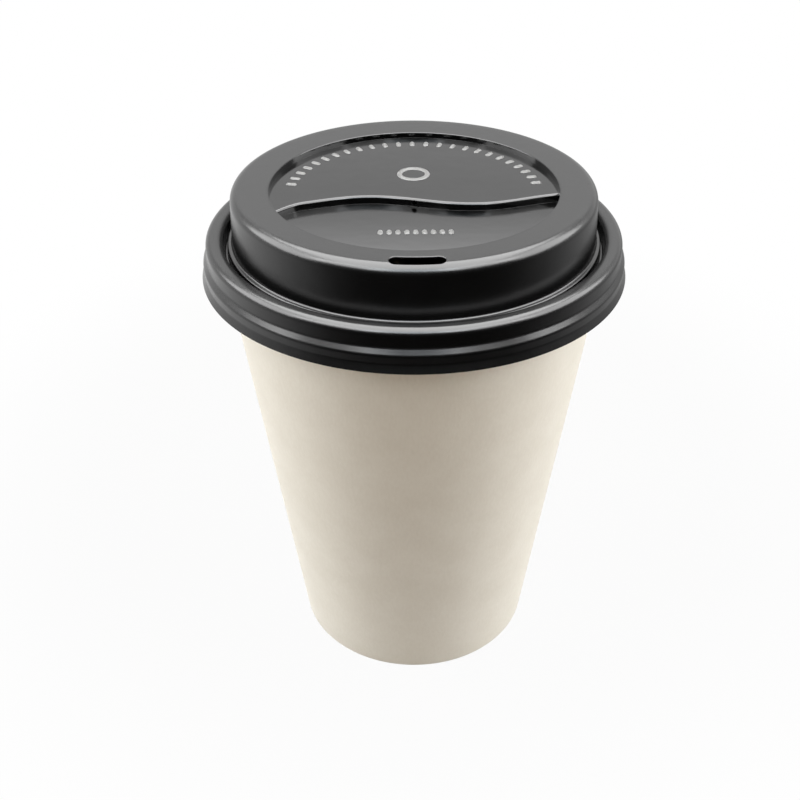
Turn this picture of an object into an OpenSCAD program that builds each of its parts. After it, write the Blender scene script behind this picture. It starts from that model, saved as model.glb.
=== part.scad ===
// Paper hot-drink cup with a clip-on sip lid.
// Origin: centre of the foot, on the table. +Z is up, and the sip hole faces -Y.

/* [Cup] */
// Height of the cup alone, from the table to the top of its rolled rim
cup_h = 108.8; // [70:0.1:180]
// Diameter over the rolled rim
rim_d = 90.8; // [74:0.1:112]
// Outer diameter of the foot
foot_d = 58.4; // [46:0.1:68]
// Thickness of the side wall's board
board_t = 0.38; // [0.25:0.01:0.5]
// Width of the rolled rim across the roll
curl_w = 2.8; // [2:0.1:3.6]
// Part of a full turn that the roll leaves open at its cut edge
curl_open = 50; // [48:1:90]
// Width of the glued side seam's lap, half-way up
seam_w = 7; // [4:0.5:12]
// Inner radius of the two folds at the foot
fold_in = 0.05; // [0.02:0.01:0.1]

/* [Base disc] */
// Thickness of the base disc's board
disc_t = 0.3; // [0.2:0.01:0.4]
// Height of the base disc's underside above the table
disc_rise = 7; // [4.5:0.1:12]
// Inner radius of the bend between the disc and its skirt
disc_bend = 0.3; // [0.2:0.05:0.6]
// Distance of the wall's turned-in hem below the base disc
hem_below = 1; // [0.7:0.1:2]
// Glue line between the layers of board at the foot
glue_t = 0.05; // [0.03:0.01:0.15]

/* [Lid rim] */
// Thickness of the lid's formed sheet
sheet_t = 0.35; // [0.25:0.01:0.42]
// Clearance between the lid and the cup's rim and wall
lid_gap = 0.2; // [0.1:0.01:0.4]
// Turn of the lid on the cup, which carries the sip hole towards +X
lid_turn = 1; // [-180:0.5:180]
// Radius of the shoulders of the rim channel, outside
shoulder_r = 1.6; // [0.8:0.05:1.7]
// Depth of the drip groove below the top of the rim channel
groove_drop = 3.75; // [3:0.05:5]
// Width of the drip groove at its bottom
groove_w = 0.6; // [0.45:0.05:1]
// Radius of the drip groove's bottom corners
groove_r = 0.2; // [0.1:0.05:0.2]
// Depth of the stacking ledge below the top of the rim channel
ledge_drop = 1.45; // [1:0.05:2]
// Width of the stacking ledge
ledge_w = 1; // [0.9:0.05:2]
// Radius of the ledge's edge and of the dome's foot
ledge_edge = 0.43; // [0.42:0.01:0.44]

/* [Lid skirt] */
// Depth of the skirt's lower edge below the top of the rim channel
skirt_h = 8.85; // [8.5:0.05:12]
// How far the grip bead stands out from the upper skirt
bead_out = 0.9; // [0.5:0.05:1.2]
// Depth of the bead's crest below the top of the rim channel
bead_drop = 5.35; // [5:0.05:6.2]
// Height over which the skirt swells into the bead
bead_swell = 1.4; // [1.2:0.05:1.9]
// Radius of the neck, of the bead's crest and of the waist
bead_r = 1.2; // [0.5:0.05:1.3]
// How far the waist lies in from the bead's crest
waist_in = 0.15; // [0:0.05:0.4]
// Height of the waist above the lower edge
waist_up = 1.7; // [1.4:0.05:2]
// How far the lower edge stands out from the upper skirt
lip_out = 1.4; // [1:0.05:2.2]

/* [Lid dome] */
// Height of the dome's top above the top of the rim channel
dome_rise = 10.15; // [8:0.05:14]
// Lean of the dome's wall over its height
dome_lean = 0.45; // [0.1:0.05:0.8]
// Radius of the dome's upper edge
edge_r = 2.2; // [1.2:0.1:2.6]
// Width of the flat band between the dome's edge and the recess
band_w = 6.25; // [4.5:0.05:9]
// How far the recess is set towards the sip hole
recess_shift = 1.45; // [0:0.05:2]
// Depth of the back panel below the band
back_depth = 1.3; // [0.8:0.05:2.5]

/* [Wave step and front panel] */
// Height of the wave-shaped step between the two panels
step_h = 1.7; // [1.4:0.05:3]
// Distance of the wave's middle line from the centre, towards the sip hole
wave_in = 6.3; // [4:0.05:8]
// Half the height of the wave
wave_amp = 1.95; // [0.5:0.05:2.4]
// Share by which the wave is higher at the recess's wall than in the middle
wave_swell = 0.35; // [0:0.05:0.6]
// Length of one wave
wave_len = 43; // [34:0.1:60]
// Distance of the wave's crest to the left of the centre
wave_left = 9.4; // [0:0.1:15]
// Length of the wave's left end that turns towards the sip hole
wave_tail = 8; // [0:0.1:12]
// Radius at which it turns
wave_turn = 5.5; // [4:0.1:12]
// Radius of the scooped front panel, seen from the side
scoop_r = 150; // [90:1:400]
// Depth of the front panel at its front edge
scoop_lip = 0.25; // [0.15:0.05:0.6]

/* [Openings and marks] */
// Length of the sip hole along the band
sip_l = 11; // [8:0.1:14]
// Width of the sip hole
sip_w = 2.8; // [2.4:0.1:3.2]
// Distance of the sip hole's middle in from the dome's edge
sip_in = 2.75; // [2.5:0.05:3.2]
// Diameter of the vent hole in the step
vent_d = 1; // [0.6:0.1:1.4]
// Number of raised ticks round the back panel
tick_count = 25; // [9:1:31]
// Length of a raised tick
tick_l = 2.1; // [1:0.1:2.6]
// Width of a raised tick
tick_w = 0.8; // [0.5:0.1:1.2]
// Height of the raised marks
mark_h = 0.25; // [0.1:0.05:0.4]
// Distance of the ticks' middle in from the wall of the recess
tick_in = 4.2; // [3:0.1:6]
// Outer diameter of the plain raised ring
ring_d = 7; // [5:0.1:9]
// Distance of the raised ring's middle behind the centre
ring_back = 7.6; // [6:0.1:9]
// Number of raised ticks in the front panel's row
row_count = 9; // [3:2:11]
// Distance of that row from the centre, towards the sip hole
row_in = 20.4; // [16:0.1:22]

/* [Hidden] */
$fn = 120;
board_colour = [0.87, 0.84, 0.78];
sheet_colour = [0.12, 0.12, 0.12];
cut = 1;

// The roll of the rim, and the wall's line from the foot that meets it smoothly
curl_c = [rim_d - curl_w, 2 * cup_h - curl_w] / 2;
curl_in = curl_w / 2 - board_t;
foot_p = [foot_d / 2, 0];
wall_dir = atan2(curl_c.y - foot_p.y, curl_c.x - foot_p.x) + asin(curl_in / norm(curl_c - foot_p));
skew = 1 / sin(wall_dir);
fold_r = board_t + fold_in;
seam_angle = seam_w / (PI * (foot_d + rim_d) / 2) * 360;
seam_top = cup_h - curl_w - board_t;

// Base disc, held between the wall and its hem
hem_w = 2 * board_t + disc_t + 2 * glue_t;
hem_h = disc_rise - hem_below;
disc_top = disc_rise + disc_t;
disc_foot = board_t + 2 * glue_t;

// Lid, from its channel over the rim outwards and inwards
channel_r = curl_w / 2 + lid_gap + sheet_t;
shoulder_z = curl_c.y + channel_r;
skirt_r = curl_c.x + channel_r;
skirt_z = shoulder_z - skirt_h;
bead_z = shoulder_z - bead_drop;
groove_z = shoulder_z - groove_drop;
ledge_z = shoulder_z - ledge_drop;
ledge_r = seal_r(groove_z) - groove_w;
dome_foot_r = ledge_r - ledge_w;
dome_r = dome_foot_r - dome_lean;
top_z = shoulder_z + dome_rise;

// Recess in the lid's top
recess_r = dome_r - edge_r - band_w;
recess_y = -recess_shift;
back_z = top_z - back_depth;
under_band = top_z - sheet_t / 2;
tick_arc = 164;
row_pitch = 1.8;
wave_end = recess_r + 2;

// The front panel is part of a cylinder along X, through these two points of its section
scoop_a = [-wave_in - wave_amp, back_z - step_h];
scoop_b = [recess_y - recess_r, top_z - scoop_lip];
scoop_dir = unit(scoop_b - scoop_a);
scoop_up = sqrt(pow(scoop_r, 2) - pow(norm(scoop_b - scoop_a) / 2, 2));
scoop_c = (scoop_a + scoop_b) / 2 + [scoop_dir.y, -scoop_dir.x] * scoop_up;
front_low = scoop_a.y - 2 * cut;

// ---- Bent sheets -----------------------------------------------------------------------------

function unit(v) = v / norm(v);

// Outer radius of the side wall at a height
function wall_r(z) = foot_p.x + z / tan(wall_dir);

// Radius of the lid's sealing wall at a height, on the side that faces the drip groove
function seal_r(z) = wall_r(z) - (board_t + lid_gap + sheet_t) * skew;

// Points round c from angle a0 to a1, in n steps
function arc(c, r, a0, a1, n) =
    [for (i = [0:n]) let (a = a0 + (a1 - a0) * i / n) c + r * [cos(a), sin(a)]];

// A path without its two ends
function between(path) = [for (i = [1:len(path) - 2]) path[i]];

// Points that round the corner b between a and c
function corner(a, b, c, r) =
    let (u = unit(a - b), w = unit(c - b), half = acos(u * w) / 2)
    let (m = b + unit(u + w) * r / sin(half), p = b + u * r / tan(half), q = b + w * r / tan(half))
    let (a0 = atan2(p.y - m.y, p.x - m.x), a1 = atan2(q.y - m.y, q.x - m.x))
    let (sweep = (a1 - a0 + 540) % 360 - 180)
    arc(m, r, a0, a0 + sweep, max(2, ceil(abs(sweep) / 12)));

// A line of [x, y, radius] corners as a path, with the corners that have a radius rounded
function rounded(p) =
    let (q = [for (v = p) [v.x, v.y]])
    [for (i = [0:len(p) - 1]) each (p[i].z == 0 ? [q[i]] : corner(q[i - 1], q[i], q[i + 1], p[i].z))];

// Unit vector to the right of the path, on its way from point i to the next
function right_of(path, i) = let (d = unit(path[i + 1] - path[i])) [d.y, -d.x];

// Point i of the path moved t to the right
function moved(path, i, t) =
    let (last = len(path) - 1, a = right_of(path, max(i - 1, 0)), b = right_of(path, min(i, last - 1)))
    path[i] + unit(a + b) * t / (unit(a + b) * a);

// Section of a sheet of thickness t that has the path on its left
module sheet_section(path, t) {
    last = len(path) - 1;
    polygon(concat(path, [for (i = [last:-1:0]) moved(path, i, t)]));
}

// ---- Cup -------------------------------------------------------------------------------------

// Outer face of the board: round the inside of the roll, down the wall, round the foot, up the hem
module wall_section() {
    roll = arc(curl_c, curl_in, curl_open - 180, wall_dir + 90, 24);
    folds = [
        [foot_p.x, 0, fold_r],
        [foot_p.x - hem_w * skew, 0, fold_r],
        [wall_r(hem_h) - hem_w * skew, hem_h, 0]
    ];
    sheet_section(rounded(concat([for (p = roll) [p.x, p.y, 0]], folds)), board_t);
}

// The outer lap of the seam, sunk half-way into the wall that it is sealed to
module lap_section() {
    lap = [[wall_r(seam_top) + board_t * skew, seam_top], [wall_r(fold_r) + board_t * skew, fold_r]];
    sheet_section(lap, board_t * 1.5);
}

module side_wall() {
    color(board_colour) {
        rotate_extrude() wall_section();
        rotate([0, 0, 90 - seam_angle / 2]) rotate_extrude(angle = seam_angle) lap_section();
    }
}

module base_disc() {
    gap = (board_t + glue_t) * skew;
    face = [
        [0, disc_top, 0],
        [wall_r(disc_top) - gap, disc_top, disc_t + disc_bend],
        [wall_r(disc_foot) - gap, disc_foot, 0]
    ];
    color(board_colour) rotate_extrude() sheet_section(rounded(face), disc_t);
}

// ---- Lid -------------------------------------------------------------------------------------

// Outer face of the lid: top, dome, ledge, drip groove, channel over the rim, and skirt
module lid_section() {
    face = [
        [0, top_z, 0],
        [dome_r, top_z, edge_r],
        [dome_foot_r, ledge_z, ledge_edge],
        [ledge_r, ledge_z, ledge_edge],
        [ledge_r, groove_z, groove_r],
        [seal_r(groove_z), groove_z, groove_r],
        [seal_r(shoulder_z), shoulder_z, shoulder_r],
        [skirt_r, shoulder_z, shoulder_r],
        [skirt_r, bead_z + bead_swell, bead_r],
        [skirt_r + bead_out, bead_z, bead_r],
        [skirt_r + bead_out - waist_in, skirt_z + waist_up, bead_r],
        [skirt_r + lip_out, skirt_z, 0]
    ];
    sheet_section(rounded(face), sheet_t);
}

// Line of the wave step at x, with its left end turned down to meet the wall of the recess
function wave_y(x) =
    let (swell = 1 + wave_swell * pow(x / recess_r, 2), tail = max(0, wave_tail - recess_r - x))
    wave_amp * swell * cos((x + wave_left) / wave_len * 360) - wave_in - pow(tail, 2) / 2 / wave_turn;

// Outline of the recess, moved out by grow
module recess_circle(grow) {
    translate([0, recess_y]) circle(r = recess_r + grow);
}

// Everything in front of the wave, with the wave moved back by shift
module before_wave(shift) {
    wave = [for (i = [-30:30]) let (x = i / 30 * wave_end) [x, wave_y(x) + shift]];
    polygon(concat(wave, [[wave_end, -rim_d], [-wave_end, -rim_d]]));
}

// Everything on the inner side of the scoop's surface, moved down by grow
module scoop(grow) {
    translate([-rim_d, scoop_c.x, scoop_c.y]) rotate([0, 90, 0]) {
        cylinder(r = scoop_r + grow, h = 2 * rim_d);
    }
}

// Open space of the recess above its two panels
module recess_space() {
    translate([0, 0, back_z]) linear_extrude(back_depth + cut) difference() {
        recess_circle(0);
        before_wave(-cut);
    }
    intersection() {
        translate([0, 0, front_low]) linear_extrude(top_z + cut - front_low) intersection() {
            recess_circle(0);
            before_wave(0);
        }
        scoop(0);
    }
}

// The same space with the sheet below and round it, up to the middle of the band's sheet
module recess_tub() {
    translate([0, 0, back_z - sheet_t]) linear_extrude(under_band - back_z + sheet_t) difference() {
        recess_circle(sheet_t);
        before_wave(0);
    }
    intersection() {
        translate([0, 0, front_low]) linear_extrude(under_band - front_low) intersection() {
            recess_circle(sheet_t);
            before_wave(sheet_t);
        }
        scoop(sheet_t);
    }
}

// Slot with round ends that follows the band
module sip_hole() {
    middle = dome_r - sip_in;
    end_r = sip_w / 2;
    half = (sip_l - sip_w) / 2 / middle * 180 / PI;
    right_end = arc(middle * [sin(half), -cos(half)], end_r, half - 90, half + 90, 12);
    left_end = arc(middle * [-sin(half), -cos(half)], end_r, 90 - half, 270 - half, 12);
    outline = concat(
        arc([0, 0], middle + end_r, -90 - half, half - 90, 12),
        between(right_end),
        arc([0, 0], middle - end_r, half - 90, -90 - half, 12),
        between(left_end)
    );
    translate([0, 0, top_z - edge_r]) linear_extrude(edge_r + cut) polygon(outline);
}

module vent_hole() {
    translate([0, wave_y(0) - cut, back_z - step_h / 2]) rotate([-90, 0, 0]) {
        cylinder(d = vent_d, h = 2 * cut);
    }
}

// Raised ticks and a plain ring on the back panel
module back_marks() {
    thick = sheet_t / 2 + mark_h;
    translate([0, 0, back_z - sheet_t / 2]) {
        for (i = [0:tick_count - 1]) {
            a = 90 + tick_arc * (i / (tick_count - 1) - 0.5);
            translate([0, recess_y, 0]) rotate([0, 0, a]) {
                translate([recess_r - tick_in - tick_l / 2, -tick_w / 2, 0]) cube([tick_l, tick_w, thick]);
            }
        }
        translate([0, ring_back, 0]) difference() {
            cylinder(d = ring_d, h = thick);
            translate([0, 0, -cut]) cylinder(d = ring_d - 2 * tick_w, h = thick + 2 * cut);
        }
    }
}

// A short row of raised ticks on the front panel
module front_marks() {
    intersection() {
        for (i = [0:row_count - 1]) {
            x = (i - (row_count - 1) / 2) * row_pitch;
            translate([x - tick_w / 2, -row_in - tick_l / 2, front_low]) {
                cube([tick_w, tick_l, top_z - front_low]);
            }
        }
        difference() {
            scoop(sheet_t / 2);
            scoop(-mark_h);
        }
    }
}

module lid() {
    color(sheet_colour) rotate([0, 0, lid_turn]) {
        difference() {
            union() {
                rotate_extrude() lid_section();
                recess_tub();
            }
            recess_space();
            sip_hole();
            vent_hole();
        }
        back_marks();
        front_marks();
    }
}

side_wall();
base_disc();
lid();
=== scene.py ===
"""Looks of a paper hot-drink cup with a clip-on sip lid.

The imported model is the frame. The board of the cup and the formed sheet of the lid are made again here
on the frame's sizes, as fine closed meshes with the roundings, the lap of the seam and the finishes
that the plain solids leave out. Sizes of the object's own classes are in millimetres. Meshes and the
studio are in metres.
"""

import logging
import math
from collections.abc import Callable
from dataclasses import dataclass, replace
from enum import Enum
from functools import cached_property, partial

import bmesh
import bpy
from mathutils import Matrix, Vector
from mathutils.geometry import delaunay_2d_cdt


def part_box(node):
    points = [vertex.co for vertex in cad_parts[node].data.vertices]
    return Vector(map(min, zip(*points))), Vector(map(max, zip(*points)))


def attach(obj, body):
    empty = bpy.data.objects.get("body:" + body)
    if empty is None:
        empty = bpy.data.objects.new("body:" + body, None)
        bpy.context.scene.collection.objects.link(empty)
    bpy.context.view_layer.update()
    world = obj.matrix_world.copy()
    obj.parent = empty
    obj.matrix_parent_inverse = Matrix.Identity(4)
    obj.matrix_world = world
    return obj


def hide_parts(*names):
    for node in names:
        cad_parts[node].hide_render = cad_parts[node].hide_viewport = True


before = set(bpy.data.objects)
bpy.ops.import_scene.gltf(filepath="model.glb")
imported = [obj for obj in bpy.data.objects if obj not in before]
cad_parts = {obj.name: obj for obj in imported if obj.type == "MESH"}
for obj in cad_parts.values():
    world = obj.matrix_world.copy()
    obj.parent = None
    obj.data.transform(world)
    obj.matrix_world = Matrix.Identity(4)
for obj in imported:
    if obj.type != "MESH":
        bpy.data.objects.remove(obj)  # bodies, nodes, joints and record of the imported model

Point = tuple[float, float]
Place = tuple[float, float, float]
Span = tuple[float, float]
Colour = tuple[float, float, float]
Line = tuple[list[Point], bool]  # points, and whether the last joins the first

LOG = logging.getLogger("cup")
MM = 0.001
SHARP_ANGLE = math.radians(40)
WELD = 0.0005 * MM  # vertices closer than this become one
AXIS: Point = (0.0, 0.0)
WHITE = (1.0, 1.0, 1.0, 1.0)


class Body(Enum):
    """The bodies of the frame that pieces ride on."""

    CUP = "cup"
    LID = "lid"


class Slot(Enum):
    """The material slots of the record."""

    BOARD = "cup_board"
    SHEET = "lid_sheet"


# ---- Node trees -------------------------------------------------------------------------------


class Number:
    """A number socket of a node tree: arithmetic on it adds Math nodes to that tree."""

    def __init__(self, graph: "Graph", socket: bpy.types.NodeSocket) -> None:
        """Wrap a socket of a graph."""
        self.graph = graph
        self.socket = socket

    def __add__(self, other: "Number | float") -> "Number":
        """Add a socket or a plain number."""
        return self.graph.maths("ADD", self, other)

    def __radd__(self, other: float) -> "Number":
        """Add to a plain number."""
        return self.graph.maths("ADD", other, self)

    def __sub__(self, other: "Number | float") -> "Number":
        """Take away a socket or a plain number."""
        return self.graph.maths("SUBTRACT", self, other)

    def __rsub__(self, other: float) -> "Number":
        """Take away from a plain number."""
        return self.graph.maths("SUBTRACT", other, self)

    def __mul__(self, other: "Number | float") -> "Number":
        """Multiply by a socket or a plain number."""
        return self.graph.maths("MULTIPLY", self, other)

    def __rmul__(self, other: float) -> "Number":
        """Multiply a plain number."""
        return self.graph.maths("MULTIPLY", other, self)

    def __truediv__(self, other: "Number | float") -> "Number":
        """Divide by a socket or a plain number."""
        return self.graph.maths("DIVIDE", self, other)

    def __rtruediv__(self, other: float) -> "Number":
        """Divide a plain number."""
        return self.graph.maths("DIVIDE", other, self)

    def __abs__(self) -> "Number":
        """The number without its sign."""
        return self.graph.maths("ABSOLUTE", self)

    def over(self, other: "Number | float") -> "Number":
        """1 where this is greater than the other, and 0 elsewhere."""
        return self.graph.maths("GREATER_THAN", self, other)

    def greater(self, other: "Number | float") -> "Number":
        """The greater of the two."""
        return self.graph.maths("MAXIMUM", self, other)

    def length_with(self, other: "Number") -> "Number":
        """Distance from the origin of the point that has these two as its coordinates."""
        return self.graph.maths("SQRT", self * self + other * other)

    def turn_from(self, other: "Number") -> "Number":
        """Angle in radians from the other's axis to the point that has these two as its coordinates."""
        return self.graph.maths("ARCTAN2", self, other)

    def ramp(self, low: float, high: float, start: float = 0.0, end: float = 1.0) -> "Number":
        """Smooth change from start at low to end at high, and level beyond them.

        Args:
            low: Value at which the change begins.
            high: Value at which it ends.
            start: Result up to low.
            end: Result from high on.

        Returns:
            The result of a Map Range node.
        """
        sizes = {"Value": self, "From Min": low, "From Max": high, "To Min": start, "To Max": end}
        return self.graph.number("ShaderNodeMapRange", {"interpolation_type": "SMOOTHSTEP"}, sizes)


class Graph:
    """A node tree with one way to add a node: its type, its settings, and its inputs."""

    def __init__(self, tree: bpy.types.NodeTree) -> None:
        """Wrap a node tree."""
        self.tree = tree

    def feed(self, node: bpy.types.Node, inputs: dict) -> None:
        """Set or link inputs of a node.

        Args:
            node: The node.
            inputs: Values, sockets or numbers for its inputs, by name or by place.
        """
        for key, value in inputs.items():
            source = value.socket if isinstance(value, Number) else value
            if isinstance(source, bpy.types.NodeSocket):
                self.tree.links.new(source, node.inputs[key])
            else:
                node.inputs[key].default_value = source

    def node(self, kind: str, settings: dict | None = None, inputs: dict | None = None) -> bpy.types.Node:
        """Add a node.

        Args:
            kind: Type of the node.
            settings: Its properties, which are set first.
            inputs: Values, sockets or numbers for its inputs, by name or by place.

        Returns:
            The new node.
        """
        node = self.tree.nodes.new(kind)
        for name, value in (settings or {}).items():
            setattr(node, name, value)
        self.feed(node, inputs or {})
        return node

    def number(
        self, kind: str, settings: dict | None = None, inputs: dict | None = None, output: int | str = 0
    ) -> Number:
        """Add a node and wrap one of its outputs as a number.

        Args:
            kind: Type of the node.
            settings: Its properties.
            inputs: Values or links of its inputs.
            output: Name or place of the output.

        Returns:
            The wrapped output.
        """
        return Number(self, self.node(kind, settings, inputs).outputs[output])

    def maths(self, operation: str, *operands: Number | float) -> Number:
        """Add one Math node.

        Args:
            operation: Name of the node's operation.
            *operands: Its inputs, in their order.

        Returns:
            The node's result.
        """
        return self.number("ShaderNodeMath", {"operation": operation}, dict(enumerate(operands)))

    def axes(self, vector: bpy.types.NodeSocket) -> list[Number]:
        """The three coordinates of a vector."""
        parts = self.node("ShaderNodeSeparateXYZ", inputs={0: vector}).outputs
        return [Number(self, part) for part in parts]


class GeometryTree(Graph):
    """A Geometry Nodes tree with named inputs, which ends in Realize Instances and Set Material."""

    def __init__(self, name: str, inputs: dict[str, str]) -> None:
        """Make the tree and its sockets.

        Args:
            name: Name of the tree.
            inputs: Socket type of each named input.
        """
        super().__init__(bpy.data.node_groups.new(name, "GeometryNodeTree"))
        sockets = self.tree.interface
        sockets.new_socket("Geometry", in_out="INPUT", socket_type="NodeSocketGeometry")
        for label, kind in {**inputs, "Material": "NodeSocketMaterial"}.items():
            sockets.new_socket(label, in_out="INPUT", socket_type=kind)
        sockets.new_socket("Geometry", in_out="OUTPUT", socket_type="NodeSocketGeometry")
        self.start = self.tree.nodes.new("NodeGroupInput")

    def given(self, name: str) -> Number:
        """The named input of the tree."""
        return Number(self, self.start.outputs[name])

    def end_with(self, geometry: bpy.types.NodeSocket) -> None:
        """Close the tree on this geometry.

        Args:
            geometry: What the tree has made, still without its material.
        """
        real = self.node("GeometryNodeRealizeInstances", inputs={"Geometry": geometry})
        inputs = {"Geometry": real.outputs[0], "Material": self.given("Material")}
        dressed = self.node("GeometryNodeSetMaterial", inputs=inputs)
        self.node("NodeGroupOutput", inputs={0: dressed.outputs[0]})

    def apply_to(self, obj: bpy.types.Object, values: dict[str, object]) -> bpy.types.Object:
        """Run the tree on an object and keep the result as its plain mesh.

        Args:
            obj: Object that holds the tree's starting geometry.
            values: Value of each named input.

        Returns:
            The same object with the finished mesh.
        """
        modifier = obj.modifiers.new(self.tree.name, "NODES")
        modifier.node_group = self.tree
        for item in self.tree.interface.items_tree:
            if item.in_out == "INPUT" and item.name in values:
                modifier[item.identifier] = values[item.name]
        return keep_modified(obj, modifier)


# ---- Lines and meshes -------------------------------------------------------------------------


def arc(centre: Point, radius: float, start: float, end: float, count: int) -> list[Point]:
    """Points along an arc.

    Args:
        centre: Middle of the arc.
        radius: Its radius.
        start: Angle of its first point, in degrees.
        end: Angle of its last point.
        count: Number of steps between them.

    Returns:
        The points, both ends among them.
    """
    turns = [math.radians(start + (end - start) * i / count) for i in range(count + 1)]
    return [(centre[0] + radius * math.cos(a), centre[1] + radius * math.sin(a)) for a in turns]


def circle(centre: Point, radius: float, count: int) -> list[Point]:
    """Points round a whole circle, each of them once."""
    return arc(centre, radius, 0, 360, count)[:-1]


def between(stations: list[Point], place: float) -> float:
    """Value at a place on a line of stations, level beyond both ends.

    Args:
        stations: Places along the line, in order, each with its value.
        place: The place.

    Returns:
        The value there.
    """
    if place <= stations[0][0]:
        return stations[0][1]
    for (x0, y0), (x1, y1) in zip(stations, stations[1:]):
        if place <= x1:
            return y0 + (y1 - y0) * (place - x0) / (x1 - x0)
    return stations[-1][1]


@dataclass(frozen=True)
class Corner:
    """A corner of a sheet's line: its radius from the axis, its height and its rounding."""

    r: float
    z: float
    fillet: float = 0.0

    @property
    def place(self) -> Vector:
        """The corner's point."""
        return Vector((self.r, self.z))


class SheetLine:
    """One face of a bent sheet in section: a line whose corners are rounded."""

    STEP_TURN = 9.0  # most that a rounding turns in one step, in degrees
    LEAST_STEPS = 3

    def __init__(self, corners: list[Corner]) -> None:
        """Round the corners of the line.

        Args:
            corners: The corners in order. The first and the last are left sharp.
        """
        self.points: list[Vector] = []
        for i, corner in enumerate(corners):
            if corner.fillet:
                self.points += self.rounded(corners[i - 1].place, corner, corners[i + 1].place)
            else:
                self.points.append(corner.place)

    def rounded(self, before: Vector, corner: Corner, after: Vector) -> list[Vector]:
        """Points that round one corner.

        Args:
            before: Corner before it.
            corner: Corner to round.
            after: Corner after it.

        Returns:
            The points of the arc.
        """
        u = (before - corner.place).normalized()
        w = (after - corner.place).normalized()
        half = math.acos(u.dot(w)) / 2
        middle = corner.place + (u + w).normalized() * corner.fillet / math.sin(half)
        reach = corner.fillet / math.tan(half)
        first = corner.place + u * reach - middle
        last = corner.place + w * reach - middle
        start = math.degrees(math.atan2(first.y, first.x))
        # the shorter way round, from -180 to 180 degrees
        sweep = (math.degrees(math.atan2(last.y, last.x)) - start + 540) % 360 - 180
        steps = max(self.LEAST_STEPS, math.ceil(abs(sweep) / self.STEP_TURN))
        return [Vector(p) for p in arc(tuple(middle), corner.fillet, start, start + sweep, steps)]

    def moved(self, offset: float) -> list[Vector]:
        """The line moved to the right of its way.

        Args:
            offset: How far it moves.

        Returns:
            Its points there.
        """
        last = len(self.points) - 1
        result = []
        for i, point in enumerate(self.points):
            sides = []
            for j in (max(i - 1, 0), min(i, last - 1)):
                way = (self.points[j + 1] - self.points[j]).normalized()
                sides.append(Vector((way.y, -way.x)))
            both = (sides[0] + sides[1]).normalized()
            result.append(point + both * offset / both.dot(sides[0]))
        return result


class Patches:
    """Points and faces of a mesh in the making, in millimetres."""

    def __init__(self) -> None:
        """Start without any."""
        self.points: list[Vector] = []
        self.faces: list[list[int]] = []

    def add(self, points: list[Vector], faces: list[list[int]]) -> None:
        """Add a patch.

        Args:
            points: Its points.
            faces: Its faces, which count from the first of its points.
        """
        first = len(self.points)
        self.points += points
        self.faces += [[first + i for i in face] for face in faces]

    def add_bands(self, loops: list[list[Vector]]) -> None:
        """Add a band of four-sided faces from each closed loop of points to the next.

        Args:
            loops: The loops, all with the same number of points.
        """
        count = len(loops[0])
        faces = []
        for i in range(len(loops) - 1):
            near, far = i * count, (i + 1) * count
            for j in range(count):
                k = (j + 1) % count
                faces.append([near + j, near + k, far + k, far + j])
        self.add([point for loop in loops for point in loop], faces)

    def make(self, name: str) -> bpy.types.Object:
        """Make one object of all the patches."""
        return new_object(name, self.points, [], self.faces)


def new_object(name: str, points: list, edges: list, faces: list) -> bpy.types.Object:
    """Make an object at the origin from points in millimetres.

    Args:
        name: Name of the object.
        points: Places of its vertices.
        edges: Its loose edges.
        faces: Its faces.

    Returns:
        The object, linked to the scene.
    """
    mesh = bpy.data.meshes.new(name)
    mesh.from_pydata([Vector(p) * MM for p in points], edges, faces)
    obj = bpy.data.objects.new(name, mesh)
    bpy.context.scene.collection.objects.link(obj)
    return obj


def keep_modified(obj: bpy.types.Object, modifier: bpy.types.Modifier) -> bpy.types.Object:
    """Make the result of an object's one modifier its plain mesh, and take the modifier off.

    Args:
        obj: The object.
        modifier: Its modifier.

    Returns:
        The same object.
    """
    depsgraph = bpy.context.evaluated_depsgraph_get()
    finished = bpy.data.meshes.new_from_object(obj.evaluated_get(depsgraph))
    obj.modifiers.remove(modifier)
    obj.data = finished
    return obj


def closed_up(obj: bpy.types.Object) -> bpy.types.Object:
    """Weld a mesh, turn its faces outwards, and shade it smooth up to its sharp edges.

    Args:
        obj: Object whose mesh is finished.

    Returns:
        The same object.
    """
    mesh = bmesh.new()
    mesh.from_mesh(obj.data)
    bmesh.ops.remove_doubles(mesh, verts=mesh.verts, dist=WELD)
    bmesh.ops.recalc_face_normals(mesh, faces=mesh.faces)
    for face in mesh.faces:
        face.smooth = True
    open_edges = sum(not edge.is_manifold for edge in mesh.edges)
    if open_edges:
        LOG.warning("%s: %d open edges", obj.name, open_edges)
    mesh.to_mesh(obj.data)
    mesh.free()
    obj.data.set_sharp_from_angle(angle=SHARP_ANGLE)
    return obj


def settle(obj: bpy.types.Object, body: Body, slot: Slot, *nodes: str) -> None:
    """Give a finished piece its place in the frame, and report it.

    Args:
        obj: The piece.
        body: Body that it rides on.
        slot: Material slot of its finish; not used.
        *nodes: Nodes that it stands for.
    """
    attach(obj, body.value)
    if nodes:
        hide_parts(*nodes)
    LOG.info("%s: %d faces, rides on %s", obj.name, len(obj.data.polygons), body.value)


# ---- Finishes ---------------------------------------------------------------------------------


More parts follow.
